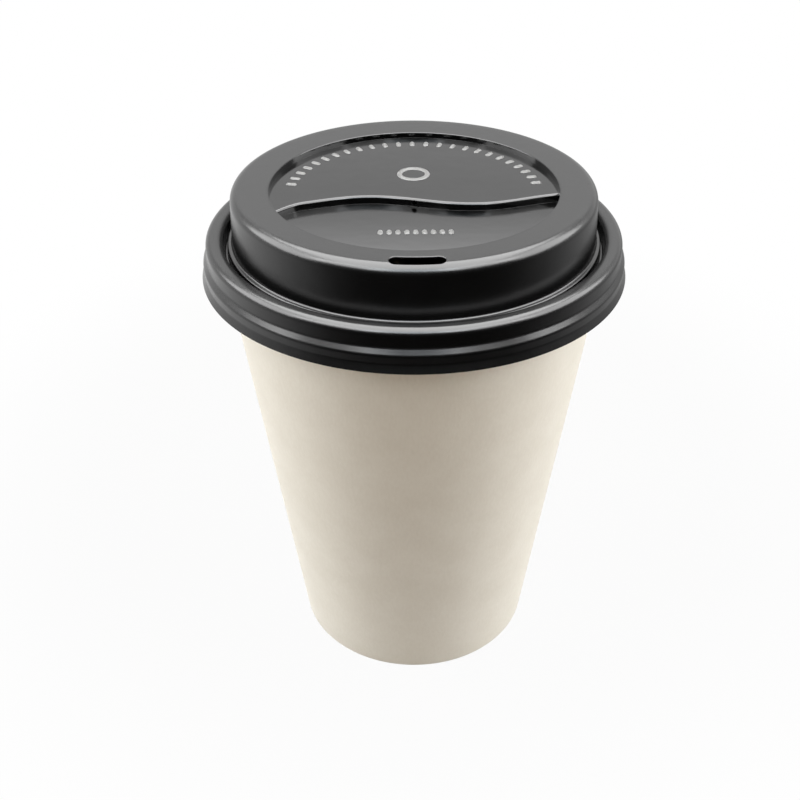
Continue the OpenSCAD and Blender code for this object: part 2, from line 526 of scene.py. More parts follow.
class Dress(Graph):
    """The shader tree of one material, with the noises and mixes that the finishes share."""

    def __init__(self, name: str) -> None:
        """Make the material with a plain shader and object coordinates.

        Args:
            name: Name of the material.
        """
        self.material = bpy.data.materials.new(name)
        self.material.use_nodes = True
        super().__init__(self.material.node_tree)
        self.shader = self.tree.nodes["Principled BSDF"]
        self.place = self.node("ShaderNodeTexCoord").outputs["Object"]

    def noise(self, grain: float, detail: float, stretch: Place = (1.0, 1.0, 1.0)) -> Number:
        """Soft noise from 0 to 1.

        Args:
            grain: Size of its spots, in millimetres.
            detail: How many finer layers it has.
            stretch: How much longer the spots are along each axis.

        Returns:
            The noise.
        """
        scale = tuple(1 / s for s in stretch)
        spread = self.node("ShaderNodeMapping", inputs={"Vector": self.place, "Scale": scale})
        inputs = {"Vector": spread.outputs[0], "Scale": 1 / (grain * MM), "Detail": detail}
        return self.number("ShaderNodeTexNoise", None, inputs, "Fac")

    def mixed(self, share: Number, low: Colour, high: Colour) -> bpy.types.NodeSocket:
        """Colour between two others.

        Args:
            share: How much of the second colour there is.
            low: First colour.
            high: Second colour.

        Returns:
            The mixed colour.
        """
        first, second, result = 6, 7, 2  # places of the Mix node's colour sockets
        inputs = {0: share, first: (*low, 1.0), second: (*high, 1.0)}
        return self.node("ShaderNodeMix", {"data_type": "RGBA"}, inputs).outputs[result]

    def wear(
        self, colour: bpy.types.NodeSocket, roughness: Number, height: Number, relief: float
    ) -> bpy.types.Material:
        """Link what changes over the surface to the shader.

        Args:
            colour: Base colour.
            roughness: Roughness.
            height: Relief from 0 to 1.
            relief: Height of the relief, in millimetres.

        Returns:
            The finished material.
        """
        bump = self.node("ShaderNodeBump", inputs={"Height": height, "Distance": relief * MM})
        self.feed(self.shader, {"Base Color": colour, "Roughness": roughness, "Normal": bump.outputs[0]})
        return self.material


@dataclass(frozen=True)
class BoardFinish:
    """White cup board: matt and fibrous, with a thin plastic film on the inside of the cup."""

    name: str
    colour: Colour = (0.86, 0.815, 0.735)
    cloud: Colour = (0.80, 0.75, 0.665)
    pulp_size: float = 9.0
    pulp_share: float = 0.6
    fibre_size: float = 0.55
    fibre_share: float = 0.5
    fibre_stretch: Place = (1.0, 1.0, 2.5)
    clouding: Span = (0.25, 0.85)
    roughness: float = 0.62
    fibre_rough: float = 0.12
    gloss: float = 0.3
    relief: float = 0.025
    film: float = 0.5
    film_blur: float = 0.25
    film_smooth: float = 0.2
    film_fill: float = 0.7

    def make(self, inside: Callable[[Number, Number], Number]) -> bpy.types.Material:
        """Make the material.

        Args:
            inside: Gives 1 on the filmed side, from the distance to the axis and the height in metres.

        Returns:
            The material.
        """
        dress = Dress(self.name)
        x, y, z = dress.axes(dress.place)
        film = inside(x.length_with(y), z)
        pulp = dress.noise(self.pulp_size, detail=3.0)
        fibre = dress.noise(self.fibre_size, detail=4.0, stretch=self.fibre_stretch)
        share = (pulp * self.pulp_share + fibre * self.fibre_share).ramp(*self.clouding)
        roughness = self.roughness + (fibre - 0.5) * self.fibre_rough - film * self.film_smooth
        coat = {"Coat Weight": film * self.film, "Coat Roughness": self.film_blur}
        dress.feed(dress.shader, {**coat, "Specular IOR Level": self.gloss})
        colour = dress.mixed(share, self.colour, self.cloud)
        return dress.wear(colour, roughness, fibre * (1 - film * self.film_fill), self.relief)


@dataclass(frozen=True)
class SheetFinish:
    """Plastic sheet, formed warm: satin outside, and glossier in the recess of its top."""

    name: str
    recess_y: float
    recess_r: float
    deep: Colour = (0.0012, 0.0012, 0.0013)
    grey: Colour = (0.003, 0.0029, 0.0028)
    grey_share: float = 0.1552
    grey_cloud: float = 0.0548
    satin: float = 0.2529
    pressed: float = 0.12
    recess_rim: Span = (0.1, 0.6)
    gloss: float = 0.65
    cloud_size: float = 7.0
    cloud_rough: float = 0.06
    skin_size: float = 0.5
    skin_rough: float = 0.04
    skin_share: float = 0.06
    wave_size: float = 5.0
    relief: float = 0.05

    def whitened_with_painted_glint(self) -> "SheetFinish":
        """The same sheet, pale over the raised marks: partly whitened where it is stretched, partly a
        painted highlight that stands in for the glint on the marks' edges.
        """
        # Pale colour of the marks: partly stress whitening of the sheet, partly a painted highlight for
        # the glint on their raised edges.
        pale = {"deep": (0.3, 0.3, 0.3), "grey": (0.36, 0.36, 0.355)}
        return replace(self, name="stretched sheet", satin=0.4, pressed=0.4, **pale)

    def make(self) -> bpy.types.Material:
        """Make the material.

        Returns:
            The material.
        """
        dress = Dress(self.name)
        cloud = dress.noise(self.cloud_size, detail=4.0)
        skin = dress.noise(self.skin_size, detail=3.0)
        wave = dress.noise(self.wave_size, detail=1.0)
        colour = dress.mixed(self.grey_share + (cloud - 0.5) * self.grey_cloud, self.deep, self.grey)
        x, y, _ = dress.axes(dress.place)
        start, end = ((self.recess_r + past) * MM for past in self.recess_rim)
        outside = x.length_with(y - self.recess_y * MM).ramp(start, end)
        uneven = (cloud - 0.5) * self.cloud_rough + (skin - 0.5) * self.skin_rough
        roughness = self.pressed + (self.satin - self.pressed) * outside + uneven
        dress.feed(dress.shader, {"Specular IOR Level": self.gloss})
        height = skin * self.skin_share + wave * (1 - self.skin_share)
        return dress.wear(colour, roughness, height, self.relief)


# ---- Turned pieces ----------------------------------------------------------------------------


class TurnTree(GeometryTree):
    """Sweeps a section round the axis. A subclass may reshape the swept mesh before it is dressed."""

    WELD = 1e-7  # distance in metres within which the ends of the sweep become one

    def __init__(self, name: str = "turned section", extra: dict[str, str] | None = None) -> None:
        """Build the tree.

        Args:
            name: Name of the tree.
            extra: Socket type of each further named input, for a subclass.
        """
        sizes = {"Radius": "NodeSocketFloat", "Steps": "NodeSocketInt", **(extra or {})}
        super().__init__(name, sizes)
        section = self.node("GeometryNodeMeshToCurve", inputs={0: self.start.outputs["Geometry"]})
        round_inputs = {"Resolution": self.given("Steps"), "Radius": self.given("Radius")}
        path = self.node("GeometryNodeCurvePrimitiveCircle", inputs=round_inputs)
        sweep = {"Curve": path.outputs[0], "Profile Curve": section.outputs[0]}
        swept = self.node("GeometryNodeCurveToMesh", inputs=sweep)
        ends = {0: swept.outputs[0], "Distance": self.WELD}
        welded = self.node("GeometryNodeMergeByDistance", inputs=ends)
        self.end_with(self.reshaped(welded.outputs[0]))

    def reshaped(self, geometry: bpy.types.NodeSocket) -> bpy.types.NodeSocket:
        """The swept mesh as it is."""
        return geometry

    def turn(
        self, name: str, section: list[Vector], closed: bool, radius: float, values: dict[str, object]
    ) -> bpy.types.Object:
        """Sweep a section into a new object.

        Args:
            name: Name of the object.
            section: Points of the section, as radius and height in millimetres.
            closed: Whether the section closes, or runs from the axis to the axis.
            radius: Radius of the circle that the section is swept along.
            values: Values of the tree's other inputs.

        Returns:
            The finished object.
        """
        count = len(section)
        edges = [(i, (i + 1) % count) for i in range(count if closed else count - 1)]
        obj = new_object(name, [(p[0] - radius, -p[1], 0.0) for p in section], edges, [])
        return closed_up(self.apply_to(obj, {"Radius": radius * MM, **values}))


class WallTree(TurnTree):
    """Sweeps the side wall and lifts its outer face where the board laps over itself."""

    SIZES = ("Lap turn", "Lap height", "Foot radius", "Slope", "Lap bottom", "Lap top")
    PINCH: Span = (0.6, 1.4)  # distances from the cut edge, in columns, over which columns are let go
    PINCHED = 0.06  # share of its distance that a column beside the cut edge keeps
    CLIMB: Span = (-0.12, 0.14)  # shares of the lap over which the board climbs over its first edge
    SKIN = 0.02 * MM  # depth of the outer face
    FADE = 2 * MM  # height over which the lap comes up, at its bottom and at its top

    def __init__(self) -> None:
        """Build the tree."""
        super().__init__("side wall", {label: "NodeSocketFloat" for label in self.SIZES})

    def reshaped(self, geometry: bpy.types.NodeSocket) -> bpy.types.NodeSocket:
        """Raise the lap: a slow rise where the board climbs over its first edge, then its cut edge.

        Args:
            geometry: The swept wall.

        Returns:
            The wall with its lap.
        """
        x, y, z = self.axes(self.node("GeometryNodeInputPosition").outputs[0])
        radius = x.length_with(y)
        turn = x.turn_from(y)
        half = self.given("Lap turn") / 2
        column = 2 * math.pi / self.given("Steps")
        past = turn - half
        pinched = half + past * (abs(past) / column).ramp(*self.PINCH, self.PINCHED, 1.0)
        climb = ((turn + half) / self.given("Lap turn")).ramp(*self.CLIMB)
        outer = radius.over(self.given("Foot radius") + z * self.given("Slope") - self.SKIN)
        low_end = ((z - self.given("Lap bottom")) / self.FADE).ramp(0.0, 1.0)
        high_end = ((self.given("Lap top") - z) / self.FADE).ramp(0.0, 1.0)
        rise = self.given("Lap height") * climb * (1 - past.over(0.0)) * outer * low_end * high_end
        reach = radius + rise
        across, along = (reach * self.maths(way, pinched) for way in ("SINE", "COSINE"))
        moved = self.node("ShaderNodeCombineXYZ", inputs={0: across, 1: along, 2: z})
        shifted = {"Geometry": geometry, "Position": moved.outputs[0]}
        return self.node("GeometryNodeSetPosition", inputs=shifted).outputs[0]


# ---- Cup --------------------------------------------------------------------------------------


@dataclass(frozen=True)
class Cup:
    """The cup of lapped board: a rolled rim, a sloping side wall and a base disc in its folded foot."""

    height: float
    rim_r: float
    disc_top: float
    disc_low: float
    foot_r: float = 29.2
    board_t: float = 0.38
    curl_w: float = 2.8
    curl_open: float = 50.0
    curl_steps: int = 30
    seam_w: float = 7.0
    fold_in: float = 0.05
    hem_h: float = 6.0
    wall_steps: int = 24
    disc_t: float = 0.3
    disc_bend: float = 0.3
    disc_rings: tuple[float, ...] = (0.0, 0.3, 0.6, 0.85)
    disc_steps: int = 192
    glue_t: float = 0.05
    turn_steps: int = 480

    @cached_property
    def curl_middle(self) -> Vector:
        """Middle of the roll in section."""
        return Vector((self.rim_r - self.curl_w / 2, self.height - self.curl_w / 2))

    @cached_property
    def wall_turn(self) -> float:
        """Angle of the wall's line above the table, in radians, so that it meets the roll smoothly."""
        way = self.curl_middle - Vector((self.foot_r, 0.0))
        return math.atan2(way.y, way.x) + math.asin((self.curl_w / 2 - self.board_t) / way.length)

    @property
    def skew(self) -> float:
        """Level width of a sloping layer for each unit of its thickness."""
        return 1 / math.sin(self.wall_turn)

    @property
    def slope(self) -> float:
        """How much the wall's radius grows for each unit of height."""
        return 1 / math.tan(self.wall_turn)

    @property
    def seam_turn(self) -> float:
        """Angle that the lap takes round the cup, in radians."""
        return self.seam_w / ((self.foot_r + self.rim_r) / 2)

    def wall_r(self, z: float) -> float:
        """Outer radius of the wall at a height."""
        return self.foot_r + z * self.slope

    def filmed(self, radius: Number, z: Number) -> Number:
        """1 on the inside of the wall and over the disc, and 0 outside, for places in metres."""
        middle = (self.foot_r - self.board_t * self.skew / 2) * MM
        return (middle + z * self.slope).over(radius) * z.over((self.disc_top - self.disc_t / 2) * MM)

    def side_wall(self, material: bpy.types.Material) -> bpy.types.Object:
        """Make the side wall with its rolled rim, its folded foot and the lap of its seam.

        Args:
            material: The board's material.

        Returns:
            The wall.
        """
        fold_r = self.board_t + self.fold_in
        hem_w = (2 * self.board_t + self.disc_t + 2 * self.glue_t) * self.skew
        roll_r = self.curl_w / 2 - self.board_t
        roll_ends = (self.curl_open - 180, math.degrees(self.wall_turn) + 90)
        roll = arc(tuple(self.curl_middle), roll_r, *roll_ends, self.curl_steps)
        top, foot = Vector(roll[-1]), Vector((self.foot_r, 0.0))
        wall = [top.lerp(foot, i / self.wall_steps) for i in range(1, self.wall_steps)]
        corners = [Corner(*p) for p in roll + wall]
        corners += [
            Corner(self.foot_r, 0.0, fold_r),
            Corner(self.foot_r - hem_w, 0.0, fold_r),
            Corner(self.wall_r(self.hem_h) - hem_w, self.hem_h),
        ]
        line = SheetLine(corners)
        section = line.points + line.moved(self.board_t)[::-1]
        values = {
            "Steps": self.turn_steps,
            "Lap turn": self.seam_turn,
            "Lap height": self.board_t * self.skew * MM,
            "Foot radius": self.foot_r * MM,
            "Slope": self.slope,
            "Lap bottom": fold_r * MM,
            "Lap top": (self.height - self.curl_w - self.board_t) * MM,
            "Material": material,
        }
        return WallTree().turn("side_board", section, True, (self.foot_r + self.rim_r) / 2, values)

    def base_disc(self, material: bpy.types.Material) -> bpy.types.Object:
        """Make the base disc with the skirt that is glued into the foot.

        Args:
            material: The board's material.

        Returns:
            The disc.
        """
        gap = (self.board_t + self.glue_t) * self.skew
        corners = [Corner(self.foot_r * share, self.disc_top) for share in self.disc_rings]
        corners += [
            Corner(self.wall_r(self.disc_top) - gap, self.disc_top, self.disc_t + self.disc_bend),
            Corner(self.wall_r(self.disc_low) - gap, self.disc_low),
        ]
        line = SheetLine(corners)
        section = line.points + line.moved(self.disc_t)[::-1]
        values = {"Steps": self.disc_steps, "Material": material}
        return TurnTree().turn("base_board", section, False, self.foot_r, values)


# ---- Lid --------------------------------------------------------------------------------------


@dataclass(frozen=True)
class Step:
    """A drop formed in the lid's sheet, with a rounded edge above, a rounded foot and a slight draft."""

    height: float
    edge_r: float
    foot_r: float
    draft: float = 2.0
    steps: int = 6
    least_r: float = 0.06
    crisp_r: float = 0.05

    def under(self, sheet: float) -> "Step":
        """The same drop on the underside of a sheet of this thickness."""
        return replace(self, edge_r=max(self.edge_r - sheet, self.least_r), foot_r=self.foot_r + sheet)

    @cached_property
    def stations(self) -> list[Point]:
        """The drop in section.

        Returns:
            Distances behind its middle line, each with the share of the height there.
        """
        lean = 90 - self.draft
        foot_steps = 1 if self.foot_r < self.crisp_r else self.steps
        foot = arc((0.0, self.foot_r), self.foot_r, -90, lean - 90, foot_steps)
        edge = arc((0.0, self.height - self.edge_r), self.edge_r, 90 + lean, 90, self.steps)
        rise = edge[0][1] - foot[-1][1]
        run = rise / math.tan(math.radians(lean))
        foot_shift = -run / 2 - foot[-1][0]
        edge_shift = run / 2 - edge[0][0]
        places = [(x + foot_shift, z) for x, z in foot] + [(x + edge_shift, z) for x, z in edge]
        return [(x, z / self.height) for x, z in places]

    def share(self, distance: float) -> float:
        """Share of the height at a distance behind the drop's middle line."""
        return between(self.stations, distance)

    @property
    def reach(self) -> float:
        """Distance from the middle line beyond which the sheet is level."""
        return max(-self.stations[0][0], self.stations[-1][0])


@dataclass(frozen=True)
class Wave:
    """The line of the step between the lid's two panels."""

    recess_r: float
    inset: float = 6.3
    amplitude: float = 1.95
    swell: float = 0.35
    length: float = 43.0
    left: float = 9.4
    tail: float = 8.0
    tail_r: float = 5.5

    def y(self, x: float) -> float:
        """The wave's place from front to back.

        Args:
            x: Place across the lid.

        Returns:
            The wave's y there.
        """
        swell = 1 + self.swell * (x / self.recess_r) ** 2
        tail = max(0.0, self.tail - self.recess_r - x)
        crest = math.cos((x + self.left) / self.length * 2 * math.pi)
        return self.amplitude * swell * crest - self.inset - tail**2 / 2 / self.tail_r

    def stretch(self, x: float) -> float:
        """How much longer than its run along x the wave is there."""
        nudge = 0.01
        return math.hypot(1, (self.y(x + nudge) - self.y(x - nudge)) / 2 / nudge)


@dataclass(frozen=True)
class SipHole:
    """The slot with round ends that follows the band of the lid."""

    middle: float
    length: float = 11.0
    width: float = 2.8
    side_steps: int = 16
    end_steps: int = 14

    @property
    def half_turn(self) -> float:
        """Angle from the middle of the slot to the middle of its round end, in degrees."""
        return math.degrees((self.length - self.width) / 2 / self.middle)

    def outline(self, grow: float) -> list[Point]:
        """The slot's outline.

        Args:
            grow: How far the outline is moved out.

        Returns:
            Its points, each of them once.
        """
        half = self.half_turn
        end_r = self.width / 2 + grow
        ends = [arc(AXIS, self.middle, a, a, 1)[0] for a in (half - 90, -half - 90)]
        line = arc(AXIS, self.middle + end_r, -90 - half, half - 90, self.side_steps)
        line += arc(ends[0], end_r, half - 90, half + 90, self.end_steps)[1:-1]
        line += arc(AXIS, self.middle - end_r, half - 90, -90 - half, self.side_steps)
        line += arc(ends[1], end_r, 90 - half, 270 - half, self.end_steps)[1:-1]
        return line

    def distance(self, x: float, y: float) -> float:
        """Distance from a place to the slot's outline.

        Args:
            x: Place across the lid.
            y: Place from front to back.

        Returns:
            The distance, less than 0 inside the slot.
        """
        turn = math.atan2(x, -y)
        end = math.radians(self.half_turn)
        if abs(turn) <= end:
            return abs(math.hypot(x, y) - self.middle) - self.width / 2
        side = math.copysign(end, turn)
        end_x, end_y = self.middle * math.sin(side), -self.middle * math.cos(side)
        return math.hypot(x - end_x, y - end_y) - self.width / 2


@dataclass(frozen=True)
class TopSkin:
    """One face of the lid's top, as heights over the level plane, with every change of slope as a line."""

    lid: "Lid"
    inset: float
    edge: list[Point]
    recess: Step
    riser: Step
    hole_edge: float
    spacing: float = 1.5
    hold_near: float = 0.15
    hold_far: float = 0.9
    hole_hold: float = 0.12
    hole_turns: tuple[float, ...] = (0.0, 22.5, 45.0, 67.5, 90.0)
    ring_clear: float = 0.4
    wave_steps: int = 160
    wave_over: float = 1.5
    wave_past: float = 0.6
    step_clear: float = 1.3
    hole_clear: float = 0.7
    edge_clear: float = 0.5

    DIGITS = 4  # to which a distance from the sip hole is sure
    MERGE = 1e-5  # points closer than this become one
    INSIDE = 1e-4  # a triangle that reaches no further than this from the sip hole lies in it

    def circle_distance(self, x: float, y: float) -> float:
        """Distance out from the recess's wall."""
        return math.hypot(x, y - self.lid.recess_y) - self.lid.recess_r - self.inset

    def wave_distance(self, x: float, y: float) -> float:
        """Distance behind the wave."""
        return (y - self.lid.wave.y(x)) / self.lid.wave.stretch(x) - self.inset

    def hole_drop(self, x: float, y: float) -> float:
        """How far the rounded edge of the sip hole falls away from the sheet's face.

        Args:
            x: Place across the lid.
            y: Place from front to back.

        Returns:
            The drop, less than 0 on the under face, where the edge rises.
        """
        distance = round(max(0.0, self.lid.hole.distance(x, y)), self.DIGITS)
        inside = max(0.0, self.hole_edge - distance)
        drop = self.hole_edge - math.sqrt(self.hole_edge**2 - inside**2)
        return -drop if self.inset else drop

    def height(self, x: float, y: float) -> float:
        """Height of the face.

        Args:
            x: Place across the lid.
            y: Place from front to back.

        Returns:
            The height there.
        """
        front = self.lid.scoop_z(y, self.inset)
        low = front + (self.lid.back_z - self.inset - front) * self.riser.share(self.wave_distance(x, y))
        band = between(self.edge, math.hypot(x, y)) - self.hole_drop(x, y)
        return low + (band - low) * self.recess.share(self.circle_distance(x, y))

    def holding(self, step: Step) -> list[float]:
        """Distances of the lines across a step, with two more on each side that hold the level sheet.

        Args:
            step: The step.

        Returns:
            The distances behind its middle line.
        """
        across = [distance for distance, _ in step.stations]
        before = [across[0] - self.hold_far, across[0] - self.hold_near]
        after = [across[-1] + self.hold_near, across[-1] + self.hold_far]
        return before + across + after

    def circles(self) -> list[Line]:
        """Lines round the recess and down the dome's edge.

        Returns:
            The lines. Those down the dome's edge leave a gap at the sip hole.
        """
        steps = self.lid.turn_steps
        middle = (0.0, self.lid.recess_y)
        lines = []
        for offset in self.holding(self.recess):
            lines.append((circle(middle, self.lid.recess_r + self.inset + offset, steps), True))
        lines.append((circle(AXIS, self.edge[-1][0], steps), True))
        for radius, _ in self.edge[1:-1]:
            ring = arc(AXIS, radius, 0, 360, steps)
            for pair in zip(ring, ring[1:]):
                if min(self.lid.hole.distance(*p) for p in pair) > self.ring_clear:
                    lines.append((list(pair), False))
        return lines

    def waves(self) -> list[Line]:
        """Lines along the wave step.

        Returns:
            The lines, which end just past the wall of the recess.
        """
        lines = []
        limit = self.recess.reach + self.wave_past
        half_width = self.lid.recess_r + self.wave_over
        for offset in self.holding(self.riser):
            line = []
            for i in range(self.wave_steps + 1):
                x = (2 * i / self.wave_steps - 1) * half_width
                y = self.lid.wave.y(x) + (offset + self.inset) * self.lid.wave.stretch(x)
                if self.circle_distance(x, y) < limit:
                    line.append((x, y))
            lines.append((line, False))
        return lines

    def hole_lines(self) -> list[Line]:
        """Lines round the sip hole, from its wall outwards."""
        rounds = [self.hole_edge * (1 - math.cos(math.radians(a))) for a in self.hole_turns]
        return [(self.lid.hole.outline(grow), True) for grow in [*rounds, rounds[-1] + self.hole_hold]]

    def is_level(self, x: float, y: float) -> bool:
        """Whether a place is well away from every line.

        Args:
            x: Place across the lid.
            y: Place from front to back.

        Returns:
            True where it is.
        """
        circle_distance = self.circle_distance(x, y)
        riser_clear = self.riser.reach + self.step_clear
        return (
            abs(circle_distance) > self.recess.reach + self.step_clear
            and (circle_distance > 0 or abs(self.wave_distance(x, y)) > riser_clear)
            and self.lid.hole.distance(x, y) > self.hole_clear
            and math.hypot(x, y) < self.edge[1][0] - self.edge_clear
        )

    def level_points(self) -> list[Point]:
        """Points that fill the level stretches between the lines.

        Returns:
            The points, on a grid of equal triangles.
        """
        columns = math.ceil(self.edge[-1][0] / self.spacing)
        row_pitch = math.sin(math.pi / 3)
        rows = math.ceil(columns / row_pitch)
        points = []
        for row in range(-rows, rows + 1):
            y = row * self.spacing * row_pitch
            for column in range(-columns, columns + 1):
                x = (column + row % 2 / 2) * self.spacing
                if self.is_level(x, y):
                    points.append((x, y))
        return points

    def mesh(self) -> tuple[list[Vector], list[list[int]]]:
        """Lay triangles between the lines and the level points.

        Returns:
            The face's points and its triangles, which face up.
        """
        points: list[Vector] = []
        edges = []
        for line, closes in self.circles() + self.waves() + self.hole_lines():
            first = len(points)
            points += [Vector(p) for p in line]
            count = len(line)
            edges += [(first + i, first + (i + 1) % count) for i in range(count if closes else count - 1)]
        points += [Vector(p) for p in self.level_points()]
        flat, _, triangles, *_ = delaunay_2d_cdt(points, edges, [], 0, self.MERGE)
        kept = []
        for triangle in triangles:
            if max(self.lid.hole.distance(*flat[i]) for i in triangle) > self.INSIDE:
                kept.append(list(triangle))
        return [Vector((p.x, p.y, self.height(p.x, p.y))) for p in flat], kept


@dataclass(frozen=True)
class Lid:
    """The lid, formed from one sheet: skirt, channel over the rim, drip groove, ledge, dome and top."""

    cup: Cup
    top_z: float
    skirt_z: float
    lip_r: float
    sheet_t: float = 0.35
    gap: float = 0.2
    turn: float = 1.0
    shoulder_fillet: float = 1.6
    groove_drop: float = 3.75
    groove_w: float = 0.6
    groove_fillet: float = 0.2
    ledge_drop: float = 1.45
    ledge_w: float = 1.0
    ledge_fillet: float = 0.43
    bead_out: float = 0.9
    bead_drop: float = 5.35
    bead_swell: float = 1.4
    bead_fillet: float = 1.2
    waist_in: float = 0.15
    waist_up: float = 1.7
    dome_lean: float = 0.45
    edge_fillet: float = 2.2
    edge_steps: int = 6
    band_w: float = 6.25
    recess_shift: float = 1.45
    recess_edge: float = 0.2
    back_depth: float = 1.3
    step_h: float = 1.7
    step_edge: float = 0.65
    step_foot: float = 0.01
    scoop_r: float = 150.0
    scoop_lip: float = 0.25
    sip_in: float = 2.75
    sip_edge: float = 0.2
    sip_under: float = 0.08
    vent_d: float = 1.0
    vent_reach: float = 2.4
    vent_steps: int = 24
    tick_w: float = 0.8
    tick_l: float = 2.1
    mark_h: float = 0.25
    tick_in: float = 4.2
    ring_d: float = 7.0
    ring_back: float = 7.6
    row_in: float = 20.4
    row_pitch: float = 1.8
    turn_steps: int = 240

    @property
    def channel_r(self) -> float:
        """Outer radius of the channel that sits over the rolled rim, in section."""
        return self.cup.curl_w / 2 + self.gap + self.sheet_t

    @property
    def shoulder_z(self) -> float:
        """Height of the channel's top."""
        return self.cup.curl_middle.y + self.channel_r

    @property
    def skirt_r(self) -> float:
        """Outer radius of the upper skirt."""
        return self.cup.curl_middle.x + self.channel_r

    def seal_r(self, z: float) -> float:
        """Radius of the wall that seals inside the rim, on the side of the drip groove."""
        return self.cup.wall_r(z) - (self.cup.board_t + self.gap + self.sheet_t) * self.cup.skew

    @property
    def ledge_r(self) -> float:
        """Radius of the ledge's edge."""
        return self.seal_r(self.shoulder_z - self.groove_drop) - self.groove_w

    @property
    def dome_r(self) -> float:
        """Radius of the dome at its top."""
        return self.ledge_r - self.ledge_w - self.dome_lean

    @property
    def recess_r(self) -> float:
        """Radius of the recess in the top."""
        return self.dome_r - self.edge_fillet - self.band_w

    @property
    def recess_y(self) -> float:
        """Place of the recess's middle."""
        return -self.recess_shift

    @property
    def back_z(self) -> float:
        """Height of the back panel."""
        return self.top_z - self.back_depth

    @cached_property
    def wave(self) -> Wave:
        """The line between the two panels."""
        return Wave(self.recess_r)

    @cached_property
    def hole(self) -> SipHole:
        """The sip hole."""
        return SipHole(self.dome_r - self.sip_in)

    @cached_property
    def scoop_middle(self) -> Vector:
        """Middle of the arc that the front panel follows.

        Returns:
            Its y and z.
        """
        near = Vector((-self.wave.inset - self.wave.amplitude, self.back_z - self.step_h))
        far = Vector((self.recess_y - self.recess_r, self.top_z - self.scoop_lip))
        way = (far - near).normalized()
        rise = math.sqrt(self.scoop_r**2 - ((far - near).length / 2) ** 2)
        return (near + far) / 2 + Vector((way.y, -way.x)) * rise

    def scoop_z(self, y: float, inset: float) -> float:
        """Height of the front panel at y, for the face that lies inset into the sheet."""
        radius = self.scoop_r + inset
        return self.scoop_middle.y - math.sqrt(radius**2 - (y - self.scoop_middle.x) ** 2)

    @cached_property
    def faces(self) -> tuple[list[Vector], list[Vector]]:
        """The sheet in section, from the middle of the top to the skirt's lower edge.

        Returns:
            Points of its outer face, and those of its inner face.
        """
        shoulder_z = self.shoulder_z
        ledge_z = shoulder_z - self.ledge_drop
        groove_z = shoulder_z - self.groove_drop
        bead_z = shoulder_z - self.bead_drop
        bead_r = self.skirt_r + self.bead_out
        line = SheetLine(
            [
                Corner(0.0, self.top_z),
                Corner(self.dome_r, self.top_z, self.edge_fillet),
                Corner(self.dome_r + self.dome_lean, ledge_z, self.ledge_fillet),
                Corner(self.ledge_r, ledge_z, self.ledge_fillet),
                Corner(self.ledge_r, groove_z, self.groove_fillet),
                Corner(self.seal_r(groove_z), groove_z, self.groove_fillet),
                Corner(self.seal_r(shoulder_z), shoulder_z, self.shoulder_fillet),
                Corner(self.skirt_r, shoulder_z, self.shoulder_fillet),
                Corner(self.skirt_r, bead_z + self.bead_swell, self.bead_fillet),
                Corner(bead_r, bead_z, self.bead_fillet),
                Corner(bead_r - self.waist_in, self.skirt_z + self.waist_up, self.bead_fillet),
                Corner(self.lip_r, self.skirt_z),
            ]
        )
        return line.points, line.moved(self.sheet_t)

    def top_skins(self) -> list[TopSkin]:
        """The two faces of the top, which takes in the first steps of the dome's rounded edge.

        Returns:
            The upper face and the under face.
        """
        recess = Step(self.back_depth, self.recess_edge, self.step_foot)
        riser = Step(self.step_h, self.step_edge, self.step_foot)
        under = (recess.under(self.sheet_t), riser.under(self.sheet_t))
        outer, inner = ([tuple(p) for p in face[: self.edge_steps + 1]] for face in self.faces)
        return [
            TopSkin(self, 0.0, outer, recess, riser, self.sip_edge),
            TopSkin(self, self.sheet_t, inner, *under, self.sip_under),
        ]

    def shell(self, material: bpy.types.Material) -> bpy.types.Object:
        """Make the lid's sheet as one closed shell.

        Args:
            material: The sheet's material.

        Returns:
            The shell.
        """
        patches = Patches()
        skins = self.top_skins()
        for skin in skins:
            patches.add(*skin.mesh())
        hole = self.hole.outline(0.0)
        patches.add_bands([[Vector((x, y, skin.height(x, y))) for x, y in hole] for skin in skins])
        outer, inner = (face[self.edge_steps :] for face in self.faces)
        loops = []
        for point in outer + inner[::-1]:
            loops.append([Vector((x, y, point.y)) for x, y in circle(AXIS, point.x, self.turn_steps)])
        patches.add_bands(loops)
        obj = closed_up(patches.make("lid_shell"))
        obj.data.materials.append(material)
        return self.turned(closed_up(self.drilled(obj)))

    def drilled(self, shell: bpy.types.Object) -> bpy.types.Object:
        """Cut the vent hole through the wave step.

        Args:
            shell: The closed shell.

        Returns:
            The same shell.
        """
        at = Vector((0.0, self.wave.y(0.0), self.back_z - self.step_h / 2)) * MM
        place = Matrix.Translation(at) @ Matrix.Rotation(math.pi / 2, 4, "X")
        made = bmesh.new()
        bmesh.ops.create_cone(
            made,
            cap_ends=True,
            segments=self.vent_steps,
            radius1=self.vent_d / 2 * MM,
            radius2=self.vent_d / 2 * MM,
            depth=self.vent_reach * MM,
            matrix=place,
        )
        drill = new_object("drill", [], [], [])
        made.to_mesh(drill.data)
        made.free()
        cut = shell.modifiers.new("vent", "BOOLEAN")
        cut.operation = "DIFFERENCE"
        cut.solver = "EXACT"
        cut.object = drill
        keep_modified(shell, cut)
        bpy.data.objects.remove(drill)
        return shell

    def turned(self, obj: bpy.types.Object) -> bpy.types.Object:
        """Turn a piece's mesh with the lid on the cup."""
        obj.data.transform(Matrix.Rotation(math.radians(self.turn), 4, "Z"))
        return obj


# ---- Marks of the lid -------------------------------------------------------------------------


